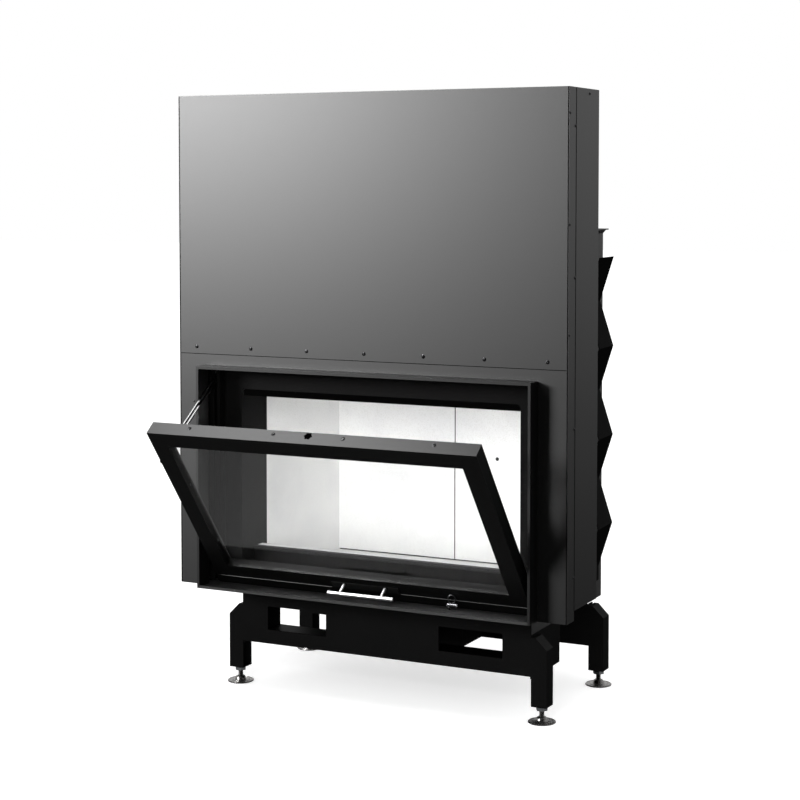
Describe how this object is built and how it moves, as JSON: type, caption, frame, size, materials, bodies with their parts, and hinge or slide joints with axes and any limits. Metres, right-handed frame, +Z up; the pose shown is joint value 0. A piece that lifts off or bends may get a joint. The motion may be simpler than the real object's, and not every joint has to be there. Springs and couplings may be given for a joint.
{
  "type": "fireplace insert",
  "caption": "Built-in fireplace insert with a wide glazed lift-and-tilt door, shown tilted open, a tall plain casing, a finned firebox behind it and a stand on levelling feet.",
  "frame": {"origin": "centre of the bounding box in plan, on the floor under the feet", "axes": "+X to the right as seen from the front, +Y from the door to the back, +Z up"},
  "size_m": [0.996, 0.8382, 1.425],
  "materials": {
    "casing": "matt heat-proof black paint on sheet steel",
    "firebox_steel": "matt black paint on plate steel",
    "lining": "smooth pale pressed vermiculite",
    "stand_steel": "matt black paint",
    "lift_paint": "black paint on the parts of the lift",
    "zinc_steel": "plain zinc-coated steel",
    "foot_steel": "zinc-coated levelling foot",
    "chain_steel": "oiled steel chain",
    "roller_steel": "turned steel",
    "weight_iron": "raw iron block",
    "door_paint": "matt black paint",
    "door_glass": "clear glass ceramic",
    "seal_rope": "braided glass-fibre rope",
    "handle_steel": "brushed stainless steel",
    "knob_chrome": "polished chrome"
  },
  "bodies": {
    "firebox": {"front_plate": "casing", "cover_plate": "casing", "strip_left": "casing", "strip_right": "casing", "side_left": "casing", "side_right": "casing", "casing_top": "casing", "casing_back": "casing", "surround": "casing", "ledge": "casing", "frame_plate": "firebox_steel", "air_wash_strip": "firebox_steel", "throat_liner": "firebox_steel", "firebox_body": "firebox_steel", "hearth_plate": "firebox_steel", "fin_left": "firebox_steel", "fin_right": "firebox_steel", "top_plate": "firebox_steel", "smoke_dome": "firebox_steel", "flue_collar": "firebox_steel", "floor_bricks": "lining", "lining_left": "lining", "lining_right": "lining", "back_lining_left": "lining", "back_lining_right": "lining", "baffle": "lining", "air_box": "stand_steel", "stand_front": "stand_steel", "stand_frame": "stand_steel", "stand_rear": "stand_steel", "leg_front_left": "stand_steel", "leg_front_right": "stand_steel", "leg_rear_left": "stand_steel", "leg_rear_right": "stand_steel", "guide_rail_left": "lift_paint", "guide_rail_right": "lift_paint", "shaft_brackets": "lift_paint", "lock_nuts": "zinc_steel", "chain_wraps": "chain_steel", "chain_front": "chain_steel", "chain_rear": "chain_steel"},
    "carriage": {"carriage": "lift_paint", "carriage_rollers": "roller_steel"},
    "door": {"door_frame": "door_paint", "door_back": "door_paint", "door_glass": "door_glass", "door_seal": "seal_rope", "handle_mount": "handle_steel", "handle_bar": "handle_steel", "hinge_pins": "zinc_steel"},
    "lift_shaft": {"lift_shaft": "zinc_steel"},
    "weight_left": {"weight_left": "weight_iron"},
    "weight_right": {"weight_right": "weight_iron"},
    "stay_left": {"stay_left": "lift_paint"},
    "air_lever": {"air_knob": "knob_chrome", "air_register": "lift_paint"},
    "foot_front_left": {"foot_front_left": "foot_steel"},
    "foot_front_right": {"foot_front_right": "foot_steel"},
    "foot_rear_left": {"foot_rear_left": "foot_steel"},
    "foot_rear_right": {"foot_rear_right": "foot_steel"}
  },
  "joints": [
    {"name": "door_lift", "type": "slide", "parent": "firebox", "child": "carriage", "axis": [0, 0, 1], "range_m": [0, 0.35], "deforming": ["chain_front", "chain_rear"]},
    {"name": "door_tilt", "type": "hinge", "parent": "carriage", "child": "door", "pos_m": [0, -0.09791, 0.2795], "axis": [1, 0, 0], "range_deg": [-38.1, 0]},
    {"name": "lift_shaft_turn", "type": "hinge", "parent": "firebox", "child": "lift_shaft", "pos_m": [0, -0.05941, 1.345], "axis": [1, 0, 0], "range_deg": [-600, 0]},
    {"name": "weight_left_drop", "type": "slide", "parent": "firebox", "child": "weight_left", "axis": [0, 0, 1], "range_m": [-0.351, 0]},
    {"name": "weight_right_drop", "type": "slide", "parent": "firebox", "child": "weight_right", "axis": [0, 0, 1], "range_m": [-0.351, 0]},
    {"name": "stay_left_swing", "type": "hinge", "parent": "firebox", "child": "stay_left", "pos_m": [0, -0.11091, 0.745], "axis": [1, 0, 0], "range_deg": [0, 54.3]},
    {"name": "air_slide", "type": "slide", "parent": "firebox", "child": "air_lever", "axis": [1, 0, 0], "range_m": [-0.02, 0.02]},
    {"name": "foot_front_left_screw", "type": "slide", "parent": "firebox", "child": "foot_front_left", "axis": [0, 0, 1], "range_m": [-0.02, 0]},
    {"name": "foot_front_right_screw", "type": "slide", "parent": "firebox", "child": "foot_front_right", "axis": [0, 0, 1], "range_m": [-0.02, 0]},
    {"name": "foot_rear_left_screw", "type": "slide", "parent": "firebox", "child": "foot_rear_left", "axis": [0, 0, 1], "range_m": [-0.02, 0]},
    {"name": "foot_rear_right_screw", "type": "slide", "parent": "firebox", "child": "foot_rear_right", "axis": [0, 0, 1], "range_m": [-0.02, 0]}
  ],
  "couplings": [
    {"joint": "lift_shaft_turn", "follows": "door_lift", "rad_per_m": -29.851},
    {"joint": "weight_left_drop", "follows": "door_lift", "ratio": -1},
    {"joint": "weight_right_drop", "follows": "door_lift", "ratio": -1},
    {"joint": "stay_left_swing", "follows": "door_tilt", "ratio": -1.4242}
  ]
}
